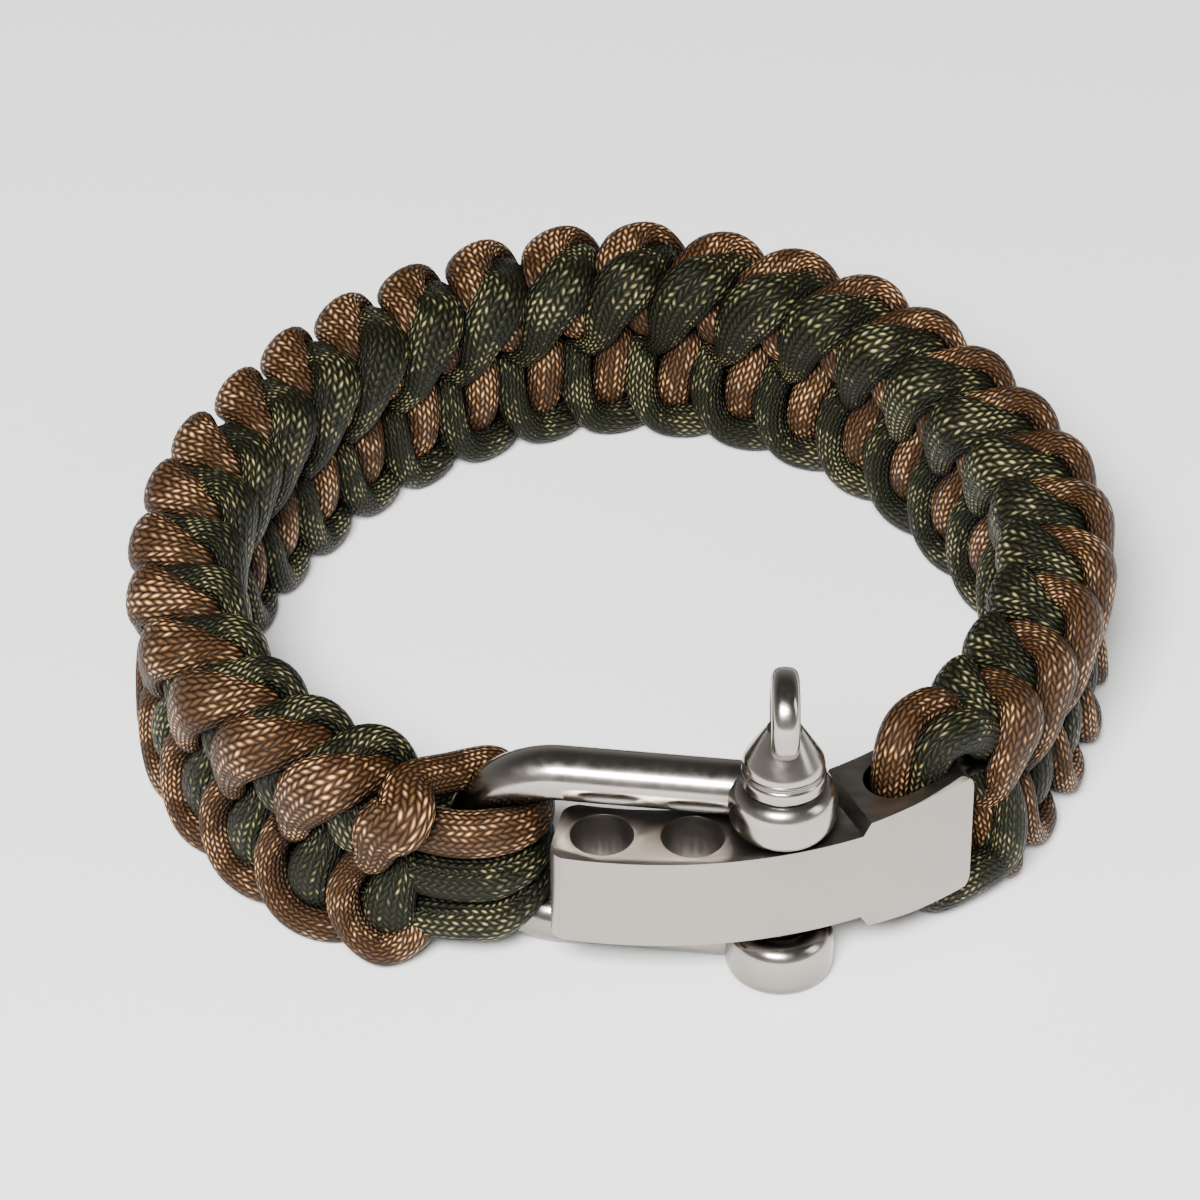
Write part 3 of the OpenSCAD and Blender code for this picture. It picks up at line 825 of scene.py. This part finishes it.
    def core(self, name: str, height: float) -> bpy.types.Object:
        """Lays one straight strand of the core.

        Args:
            name: the object's name.
            height: its height over the band's mid-height.

        Returns:
            The strand.
        """
        s = np.linspace(self.core_inset, self.ring.length - self.core_inset, self.core_points)
        path = self.ring.lifted(np.column_stack([s, np.zeros_like(s), np.full_like(s, height)]))
        out = self.ring.turned(s, np.column_stack([np.ones_like(s), np.zeros_like(s)]))
        thin, wide = np.full_like(s, self.core_thin), np.full_like(s, self.core_wide)
        return tube(name, path, out, thin, wide, CORE_SIDES)

    def build(self) -> dict[CordColour, list[bpy.types.Object]]:
        """Lays both cords and the core strands.

        Returns:
            The pieces, by colour.
        """
        cell = self.relaxed(self.drawn())
        brown, olive = self.laid(cell, self.seed), self.laid(self.mirrored(cell), self.seed + 1)
        cut = int(len(brown) * self.ring.knots / (self.ring.knots + 1))
        self.last_knot = brown[cut : self.inward(brown, cut)]
        olive = olive[: self.inward(olive, cut)]
        pieces = {
            CordColour.BROWN: [self.strand("band_strand_brown", brown[:cut], self.brown_low_width)],
            CordColour.OLIVE: [self.strand("band_strand_olive", olive, self.olive_low_width)],
        }
        for row, height in enumerate(self.core_rows):
            colour = CordColour.BROWN if row % 2 else CordColour.OLIVE
            pieces[colour].append(self.core(f"band_core_{row + 1}", height))
        return pieces


# Shackle


@dataclass
class Shackle:
    """Sizes and places shared by the shackle's bow, its pin and the adjuster bar."""

    pin_at: tuple[float, float] = (13.238, -40.396)
    bow_turn: float = 7.5
    leg_inset: float = 1.4
    wire_d: float = 4.7
    bow_gap: float = 10.8
    bow_reach: float = 26.5
    bend_points: int = 49
    leg_points: int = 30
    # Bow's eyes: diameter, height, play of the pin, and how far the edges are rounded, the
    # lower outer edge before the upper one
    ear_d: float = 9.2
    ear_h: float = 4.9
    pin_clear: float = 0.05
    bore_round: float = 0.25
    low_ear_round: tuple[float, float] = (1.3, 1.9)
    high_ear_round: tuple[float, float] = (2.1, 2.1)
    # The wire starts in the eye's wall, this far outside the bore, and its legs end before the bend
    wire_start: float = 0.35
    leg_stop: float = 0.2
    # Pin: its shank, the height of its lower end, and its collar
    pin_d: float = 4.8
    pin_end: float = 0.4
    collar_d: float = 7.2
    collar_h: float = 2.2
    # Collar's groove: shares of the collar's height at its start, bottom and end, and its depth
    groove_at: tuple[float, float, float] = (0.5, 0.62, 0.75)
    groove: float = 0.34
    # Cone: how much narrower than the collar it starts and how far above it, its tip, its height
    cone_inset: float = 0.12
    cone_base: float = 0.05
    cone_tip_r: float = 1.45
    cone_h: float = 3.4
    # Flat eye: diameter, hole, thickness, height over the bow, and rounding of its edges
    eye_d: float = 7.8
    eye_hole_d: float = 4.0
    eye_t: float = 2.4
    eye_rise: float = 7.0
    eye_round: float = 1.05
    eye_hole_round: float = 0.5
    # A turned profile starts and ends this close to its axis, so that the poles are closed
    pole_r: float = 0.001
    # Adjuster bar: its arc, its face at the pin, its mid-height and the wide end's height
    bar_centre: tuple[float, float] = (3.205, -5.406)
    bar_r: float = 36.4
    bar_face: float = -74.0
    bar_mid: float = 10.75
    wide_h: float = 12.6
    # Its points closer than bar_weld are merged, so are its faces at less than bar_flat degrees,
    # and its edges over bar_sharp degrees are broken by bar_edge
    bar_weld: float = 0.002
    bar_flat: float = 0.6
    bar_sharp: float = 32.0
    bar_edge: float = 0.22

    @property
    def bend_r(self) -> float:
        """Radius of the wire's middle line round the closed end."""
        return (self.bow_gap + self.wire_d) / 2

    @property
    def bend_x(self) -> float:
        """Distance from the pin at which the legs start to bend."""
        return self.bow_reach - self.bend_r

    @property
    def mid(self) -> float:
        """Height midway between the legs."""
        return self.wire_d + self.bow_gap / 2

    @property
    def top(self) -> float:
        """Height of the upper eye's upper face."""
        return 2 * self.wire_d + self.bow_gap

    @property
    def bore_r(self) -> float:
        """Radius of the hole in the bow's eyes."""
        return self.pin_d / 2 + self.pin_clear

    def bow_place(self, points: np.ndarray) -> np.ndarray:
        """Turns the bow's own coordinates into the bracelet's.

        Args:
            points: distance from the pin, distance towards the wrist and height.

        Returns:
            Points in space.
        """
        turn = math.radians(self.bow_turn)
        along = np.array([-math.cos(turn), math.sin(turn)])
        inward = np.array([math.sin(turn), math.cos(turn)])
        flat = np.array(self.pin_at) + points[:, :1] * along + (self.leg_inset + points[:, 1:2]) * inward
        return np.column_stack([flat, points[:, 2]])

    def bar_place(self, points: np.ndarray) -> np.ndarray:
        """Turns the bar's own coordinates into the bracelet's.

        Args:
            points: length along the bar from the pin, distance outwards and height.

        Returns:
            Points in space.
        """
        a = np.radians(self.bar_face) + points[:, 0] / self.bar_r
        r = self.bar_r + points[:, 1]
        x, y = self.bar_centre
        return np.column_stack([x + r * np.cos(a), y + r * np.sin(a), points[:, 2]])

    def wire(self) -> bpy.types.Object:
        """Bends the wire: a circle carried along a straight, a half circle and a straight.

        Returns:
            The wire, whose ends lie in the walls of the eyes.
        """
        a = np.radians(np.linspace(-90, 90, self.bend_points))
        bend_x, bend_z = self.bend_x + self.bend_r * np.cos(a), self.mid + self.bend_r * np.sin(a)
        x = np.linspace(self.bore_r + self.wire_start, self.bend_x - self.leg_stop, self.leg_points)
        level = np.zeros_like(x)
        low = np.column_stack([x, level, level + self.wire_d / 2])
        high = np.column_stack([x[::-1], level, level + (self.top - self.wire_d / 2)])
        bend = np.column_stack([bend_x, np.zeros_like(a), bend_z])
        path = self.bow_place(np.concatenate([low, bend, high]))
        inward = self.bow_place(Y_AXIS[None]) - self.bow_place(np.zeros((1, 3)))
        half = np.full(len(path), self.wire_d / 2)
        return tube("bow_wire", path, np.tile(inward, (len(path), 1)), half, half, WIRE_SIDES)

    def bow(self) -> list[bpy.types.Object]:
        """Makes the U of wire and a flat rounded eye for each leg, turned about the pin.

        Returns:
            The wire and the two eyes.
        """
        pieces = [self.wire()]
        h, r = self.ear_h, self.ear_d / 2
        corners = np.array([[self.bore_r, 0], [r, 0], [r, h], [self.bore_r, h]])
        ears = (
            ("bow_eye_lower", 0.0, self.low_ear_round),
            ("bow_eye_upper", self.top - h, self.high_ear_round),
        )
        for name, z, edges in ears:
            profile = rounded(corners, np.array([self.bore_round, *edges, self.bore_round]), steps=8)
            pieces.append(lathe(name, profile, np.array([*self.pin_at, z]), Z_AXIS, X_AXIS, True))
        return pieces

    def pin(self) -> list[bpy.types.Object]:
        """Turns the shank with its collar and cone in one profile, and the flat eye in another.

        Returns:
            The pin's body and its eye.
        """
        shank, r, c = self.pin_d / 2, self.collar_d / 2, self.collar_h
        low, tip = self.pin_end - self.top, c + self.cone_h
        start, bottom, end = (c * share for share in self.groove_at)
        # Each row is a corner's radius, its height and its rounding
        rows = np.array(
            [
                (self.pole_r, low, 0.0), (shank, low, 0.35), (shank, 0.0, 0.05), (r, 0.0, 0.2),
                (r, start, 0.3), (r - self.groove, bottom, 0.15), (r - self.cone_inset, end, 0.2),
                (r - self.cone_inset, c + self.cone_base, 0.5), (self.cone_tip_r, tip, 0.1),
                (self.pole_r, tip, 0.0),
            ]
        )
        profile = rounded(rows[:, :2], rows[:, 2], steps=5, closed=False)
        origin = np.array([*self.pin_at, self.top])
        body = lathe("pin_body", profile, origin, Z_AXIS, X_AXIS, False)
        hole, outer, half = self.eye_hole_d / 2, self.eye_d / 2, self.eye_t / 2
        corners = np.array([[hole, -half], [outer, -half], [outer, half], [hole, half]])
        edges = np.array([self.eye_hole_round, self.eye_round, self.eye_round, self.eye_hole_round])
        middle = origin + self.eye_rise * Z_AXIS
        eye = lathe("pin_eye_ring", rounded(corners, edges, steps=8), middle, X_AXIS, Y_AXIS, True)
        return [body, eye]

    def bar(self, node: bpy.types.Object) -> bpy.types.Object:
        """Copies the CAD bar, merges its loose triangles and breaks its edges finely.

        Args:
            node: the bar of the frame.

        Returns:
            The smooth bar.
        """
        shape = bmesh.new()
        shape.from_mesh(node.data)
        bmesh.ops.remove_doubles(shape, verts=shape.verts, dist=self.bar_weld * MM)
        flat = math.radians(self.bar_flat)
        bmesh.ops.dissolve_limit(shape, angle_limit=flat, verts=shape.verts, edges=shape.edges)
        mesh = bpy.data.meshes.new("bar_body")
        shape.to_mesh(mesh)
        shape.free()
        mesh.polygons.foreach_set("use_smooth", np.ones(len(mesh.polygons), bool))
        thing = placed("bar_body", mesh)
        edge = thing.modifiers.new("broken edges", "BEVEL")
        edge.width = self.bar_edge * MM
        edge.segments = 3
        edge.limit_method = "ANGLE"
        edge.angle_limit = math.radians(self.bar_sharp)
        edge.harden_normals = True
        return thing


@dataclass(frozen=True)
class SlotWay:
    """Way of one cord from the band over the bar's end, down the slot and back under it.

    Rows over and under the bar hold the length along it from the slot, the distance outwards and
    the gap to its face. The rows in the band are those of EndLoops.in_band.
    """

    # Side of the slot, 1 outside and -1 on the wrist side, and length along the bar to its way down
    side: int
    slot: float
    first: Rows
    over: Rows
    under: Rows
    last: Rows


@dataclass
class EndLoops:
    """Cord loops that tie both ends of the band to the shackle."""

    ring: Ring
    shackle: Shackle
    weave: WovenBand
    # Heights of the three loops outside the bow, inside it and in the band, from below
    outer_heights: tuple[float, float, float] = (5.0, 9.4, 14.1)
    inner_heights: tuple[float, float, float] = (7.0, 10.1, 13.2)
    band_heights: tuple[float, float, float] = (4.6, 9.4, 14.2)
    # Distance between the points of a loop
    step: float = 0.4
    # Rows of in_band where a lower loop goes back into the band, without their height
    back: Rows = ((1.0, -2.8, 1.9, 1.9), (6.0, -1.6, 1.7, 1.8))
    # Upper loop: its turn through the bow in the bow's coordinates, with half sizes, and its way
    # over the band's edge in rows of in_band
    turn: Rows = ((24.2, 3.9, 13.9, 1.7, 1.9), (25.4, 3.7, 14.9, 1.7, 1.9))
    over: Rows = ((-3.8, -4.3, 16.3, 1.6, 2.0), (-1.9, -0.2, 17.5, 1.5, 2.2))
    # It takes up the last knot at this distance outwards, at this many points, and is squeezed
    # as the knot is after this length
    knot_from: float = 3.2
    knot_picks: int = 9
    lead: float = 4.0
    # Cords in the slot: half thickness that the gaps to the bar's faces are counted from, distance
    # of each cord from the slot's middle, that middle's distance outwards, depth of the first and
    # last point in the slot, half sizes, and the direction in which they are squeezed
    slot_keep: float = 1.9
    slot_apart: float = 0.75
    slot_out: float = -0.35
    slot_depth: float = 0.6
    slot_half: tuple[float, float] = (1.85, 1.95)
    slot_press: tuple[float, float, float] = (0.7, -0.7, 0.0)
    inner_way: SlotWay = SlotWay(
        side=-1,
        slot=11.1,
        first=((6.0, -0.9, 13.6, 1.6, 1.7), (1.5, -1.8, 15.2, 1.75, 1.9)),
        over=((6.2, -2.6, 0.5), (3.2, -2.4, 1.2), (0.8, -1.4, 0.8)),
        under=((1.0, -1.4, 0.0), (3.0, -2.6, 0.2), (5.4, -2.7, 0.0)),
        last=((0.15, -2.3, 2.6, 1.85, 1.95), (5.0, -1.6, 4.6, 1.7, 1.8)),
    )
    outer_way: SlotWay = SlotWay(
        side=1,
        slot=13.4,
        first=((6.0, 0.5, 12.4, 1.5, 1.7), (2.4, 0.9, 13.8, 1.6, 1.8), (0.9, 1.4, 15.6, 1.7, 1.9)),
        over=((3.7, 1.2, 0.5), (0.9, 0.9, 0.4)),
        under=((0.9, 0.6, -0.5), (3.2, 1.2, -0.5)),
        last=(
            (0.2, 3.7, 4.0, 1.4, 1.9), (0.7, 4.2, 6.8, 1.2, 1.9),
            (1.6, 3.4, 9.8, 1.1, 1.7), (4.0, 1.2, 11.0, 1.1, 1.5),
        ),
    )

    def cord(self, name: str, points: np.ndarray, press: tuple[float, float, float]) -> bpy.types.Object:
        """Lays a smooth cord through points, squeezed in one direction.

        Args:
            name: the object's name.
            points: places of the cord's middle, half its thickness and half its width there.
            press: direction in which it is squeezed.

        Returns:
            The cord.
        """
        path = resampled(smooth_curve(points), self.step)
        squeeze = np.tile(np.array(press), (len(path), 1))
        return tube(name, path[:, :3], squeeze, path[:, 3], path[:, 4], LOOP_SIDES)

    def in_band(self, rows: Rows, end: float) -> np.ndarray:
        """Places points given by their place in the band.

        Args:
            rows: length from an end of the band, distance outwards, height, and half sizes.
            end: length along the band of that end.

        Returns:
            Places and half sizes.
        """
        table = np.array(rows)
        band = np.column_stack([np.abs(end - table[:, 0]), table[:, 1], table[:, 2] - self.ring.band_h / 2])
        return np.column_stack([self.ring.lifted(band), table[:, 3:]])

    def by_bow(self, rows: Rows) -> np.ndarray:
        """Places points given in the bow's coordinates with their half sizes."""
        table = np.array(rows)
        return np.column_stack([self.shackle.bow_place(table[:, :3]), table[:, 3:]])

    def round_bow(self, level: int) -> np.ndarray:
        """Way of one loop from the band, outside the bow's wire, through the bow and back.

        Args:
            level: 0, 1 or 2, counted from below.

        Returns:
            Places and half sizes.
        """
        outside, inside, band = self.outer_heights[level], self.inner_heights[level], self.band_heights[level]
        start = self.in_band(((2.5, 0.3, band, 1.7, 1.8), (-1.0, 1.0, band, 1.9, 1.9)), self.ring.length)
        rows = (
            (29.2, -4.4, (band + outside) / 2, 2.05, 1.95), (26.4, -4.6, outside, 2.1, 1.95),
            (23.8, -4.0, outside, 2.1, 1.9), (21.9, -2.3, (outside + inside) / 2, 1.8, 1.9),
            (21.3, 0.0, inside, 1.6, 1.9), (21.9, 2.3, inside, 1.6, 1.9),
            (24.0, 4.0, inside, 1.8, 1.9), (27.0, 4.5, (band + inside) / 2, 2.0, 1.95),
        )
        return np.concatenate([start, self.by_bow(rows)])

    def round_bow_and_back(self, name: str, level: int) -> bpy.types.Object:
        """Lays a loop round the bow whose both ends go into the band.

        Args:
            name: the object's name.
            level: 0 or 1, counted from below.

        Returns:
            The loop.
        """
        rows = tuple((s, out, self.band_heights[level], *half) for s, out, *half in self.back)
        points = np.concatenate([self.round_bow(level), self.in_band(rows, self.ring.length)])
        return self.cord(name, points, (0, 0, 1))

    def round_bow_and_over(self, name: str) -> bpy.types.Object:
        """Lays the upper loop, which comes back over the band's edge as its last knot.

        Args:
            name: the object's name.

        Returns:
            The loop with the knot.
        """
        knot = self.weave.last_knot
        knot = knot[int(np.argmax(knot[:, 1] > self.knot_from)) :]
        path = self.ring.lifted(knot)
        over = self.in_band(self.over, self.ring.length)
        loop = np.concatenate([self.round_bow(2)[:-2], self.by_bow(self.turn), over])
        picks = np.linspace(0, len(knot) - 1, self.knot_picks).astype(int)
        points = np.concatenate([loop, np.column_stack([path, knot[:, 3:]])[picks]])
        smooth = resampled(smooth_curve(points), self.step)
        places = smooth[:, :3]
        nearest = np.argmin(np.linalg.norm(places[:, None] - path[None], axis=2), axis=1)
        past_loop = lengths_along(places)[:, None] - lengths_along(loop[:, :3])[-1]
        lead = np.clip(past_loop / self.lead, 0, 1)
        squeeze = (1 - lead) * Z_AXIS + lead * self.weave.squeeze(knot)[nearest]
        return tube(name, places, squeeze, smooth[:, 3], smooth[:, 4], STRAND_SIDES)

    def through_slot(self, name: str, way: SlotWay) -> bpy.types.Object:
        """Lays one cord from the band over the bar's end, down the slot and back under it.

        Args:
            name: the object's name.
            way: the cord's way.

        Returns:
            The cord.
        """
        bar, keep, s = self.shackle, self.slot_keep, way.slot
        top, bottom = bar.bar_mid + bar.wide_h / 2, bar.bar_mid - bar.wide_h / 2
        upper, lower = np.array(way.over), np.array(way.under)
        above = np.column_stack([s + upper[:, 0], upper[:, 1], top + keep + upper[:, 2]])
        below = np.column_stack([s + lower[:, 0], lower[:, 1], bottom - keep - lower[:, 2]])
        out = way.side * self.slot_apart + self.slot_out
        levels = (top - self.slot_depth, bar.bar_mid, bottom + self.slot_depth)
        inside = np.array([[s, out, z] for z in levels])
        middle = bar.bar_place(np.concatenate([above, inside, below]))
        middle = np.column_stack([middle, np.tile(self.slot_half, (len(middle), 1))])
        points = np.concatenate([self.in_band(way.first, 0.0), middle, self.in_band(way.last, 0.0)])
        return self.cord(name, points, self.slot_press)

    def build(self) -> dict[str, tuple[CordColour, bpy.types.Object]]:
        """Lays the three loops round the bow and the two cords through the bar's slot.

        Returns:
            Each loop's colour and the loop, by the CAD node that it stands for, brown ones first.
        """
        brown, olive = CordColour.BROWN, CordColour.OLIVE
        return {
            "bow_loop_upper": (brown, self.round_bow_and_over("bow_loop_top_brown")),
            "bar_loop_inner": (brown, self.through_slot("bar_cord_inner_brown", self.inner_way)),
            "bow_loop_middle": (olive, self.round_bow_and_back("bow_loop_middle_olive", 1)),
            "bow_loop_lower": (olive, self.round_bow_and_back("bow_loop_bottom_olive", 0)),
            "bar_loop_outer": (olive, self.through_slot("bar_cord_outer_olive", self.outer_way)),
        }


# Studio


@dataclass
class Studio:
    """Pale floor, soft lights and the camera at the photograph's angle."""

    target: tuple[float, float, float] = (-1.975, -2.0, 9.55)
    distance: float = 520.0
    elevation: float = 37.5
    lens: float = 174.7
    sensor: float = 36.0
    # Brightness and tint of the room, and the heights, as the sine of the angle, between which
    # it darkens
    horizon: float = 0.4
    ceiling: float = 0.09
    darkening: tuple[float, float] = (0.1, 0.75)
    room: str = "fffdfa"
    # In metres: half the floor's width, how far the camera sees and the height that lights aim at
    floor_half: float = 3.0
    sight: float = 10.0
    aim_height: float = 0.01
    # Soft boxes: name, place and size in metres, and power in watts
    boxes: tuple[tuple[str, tuple[float, float, float], tuple[float, float], float], ...] = (
        ("key box", (-0.12, -0.6, 0.62), (0.3, 0.22), 25.0),
        ("side box", (0.75, -0.2, 0.4), (0.25, 0.5), 1.5),
    )

    def floor(self) -> bpy.types.Object:
        """Lays a flat square of paper under the bracelet.

        Returns:
            The floor.
        """
        half = self.floor_half
        mesh = bpy.data.meshes.new("floor")
        corners = [(-half, -half, 0), (half, -half, 0), (half, half, 0), (-half, half, 0)]
        mesh.from_pydata(corners, [], [(0, 1, 2, 3)])
        mesh.materials.append(StudioPaper().material())
        return placed("floor", mesh)

    def light(
        self, name: str, place: tuple[float, float, float], size: tuple[float, float], power: float
    ) -> None:
        """Hangs a soft box aimed at the bracelet.

        Args:
            name: the light's name.
            place: its place in metres.
            size: its width and height in metres.
            power: its power in watts.
        """
        data = bpy.data.lights.new(name, "AREA")
        data.shape = "RECTANGLE"
        data.size, data.size_y = size
        data.energy = power
        thing = placed(name, data)
        x, y, z = place
        tilt = math.atan2(math.hypot(x, y), z - self.aim_height)
        thing.location = place
        thing.rotation_euler = (tilt, 0, math.atan2(y, x) + math.pi / 2)

    def surroundings(self) -> None:
        """Makes the room bright at the height of the table and darker towards the ceiling."""
        world = bpy.data.worlds.new("pale studio")
        world.use_nodes = True
        tree = world.node_tree
        direction = add(tree, "TexCoord", {})
        parts = add(tree, "SeparateXYZ", {}, {0: direction.outputs["Generated"]})
        low, high = self.darkening
        fall = {1: low, 2: high, 3: self.horizon, 4: self.ceiling}
        strength = add(tree, "MapRange", fall, {0: parts.outputs["Z"]})
        background = tree.nodes["Background"]
        background.inputs["Color"].default_value = linear(self.room)
        tree.links.new(strength.outputs[0], background.inputs["Strength"])
        bpy.context.scene.world = world

    def camera(self) -> None:
        """Sets the camera in front of the target, raised by the elevation and tilted down at it."""
        data = bpy.data.cameras.new("camera")
        data.lens = self.lens
        data.sensor_width = self.sensor
        data.clip_end = self.sight
        camera = placed("camera", data)
        tilt = math.radians(self.elevation)
        x, y, z = self.target
        y, z = y - self.distance * math.cos(tilt), z + self.distance * math.sin(tilt)
        camera.location = (x * MM, y * MM, z * MM)
        camera.rotation_euler = (math.pi / 2 - tilt, 0, 0)
        bpy.context.scene.camera = camera

    def build(self) -> None:
        """Sets the floor, the pale surroundings, the lights and the camera."""
        self.floor()
        self.surroundings()
        for box in self.boxes:
            self.light(*box)
        self.camera()


@dataclass
class Dresser:
    """Gives each piece its finish, its body and its material slot."""

    finishes: dict[Enum, bpy.types.Material] = field(init=False)

    def __post_init__(self) -> None:
        """Mixes the four finishes."""
        # Gap colours are painted shade; bright and glint colours are painted light and painted highlights
        brown = BraidedSheath(
            "braided_nylon_brown", gap="140a04", yarn="4d331b", bright="805935", glint="f5c18c"
        )
        olive = BraidedSheath(
            "braided_nylon_olive", gap="050502", yarn="1e1f0e", bright="3c3b21", glint="a79f6c"
        )
        polished = StainlessSteel("stainless_tumbled", "aca69e", 0.2, 0.06, (1.0, 1.0, 1.0), 0.05)
        satin = StainlessSteel("stainless_satin", "a39c95", 0.34, 0.08, (0.25, 1.0, 3.0), 0.12)
        self.finishes = {
            CordColour.BROWN: brown.material(),
            CordColour.OLIVE: olive.material(),
            Steel.POLISHED: polished.material(),
            Steel.SATIN: satin.material(),
        }

    def dress(self, pieces: list[bpy.types.Object], finish: Enum, node: str) -> None:
        """Finishes pieces and lets them stand for a CAD node.

        Args:
            pieces: the objects.
            finish: their finish.
            node: the CAD node that they replace.
        """
        for piece in pieces:
            piece.data.materials.clear()
            piece.data.materials.append(self.finishes[finish])
            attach(piece, "root")
            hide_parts(node)
            LOG.info("%s: %d faces, %s", piece.name, len(piece.data.polygons), finish.value)


def main() -> None:
    """Builds the bracelet over its CAD frame and sets it in the studio."""
    logging.basicConfig(level=logging.INFO, format="%(name)s: %(message)s")
    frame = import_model()
    ring, shackle, dresser = Ring(), Shackle(), Dresser()
    weave = WovenBand(ring)
    for colour, pieces in weave.build().items():
        dresser.dress(pieces, colour, "woven_band")
    for node, (colour, loop) in EndLoops(ring, shackle, weave).build().items():
        dresser.dress([loop], colour, node)
    dresser.dress(shackle.bow(), Steel.POLISHED, "shackle_bow")
    dresser.dress(shackle.pin(), Steel.POLISHED, "shackle_pin")
    dresser.dress([shackle.bar(frame["nodes"]["adjuster_bar"])], Steel.SATIN, "adjuster_bar")
    Studio().build()


if __name__ == "__main__":
    main()
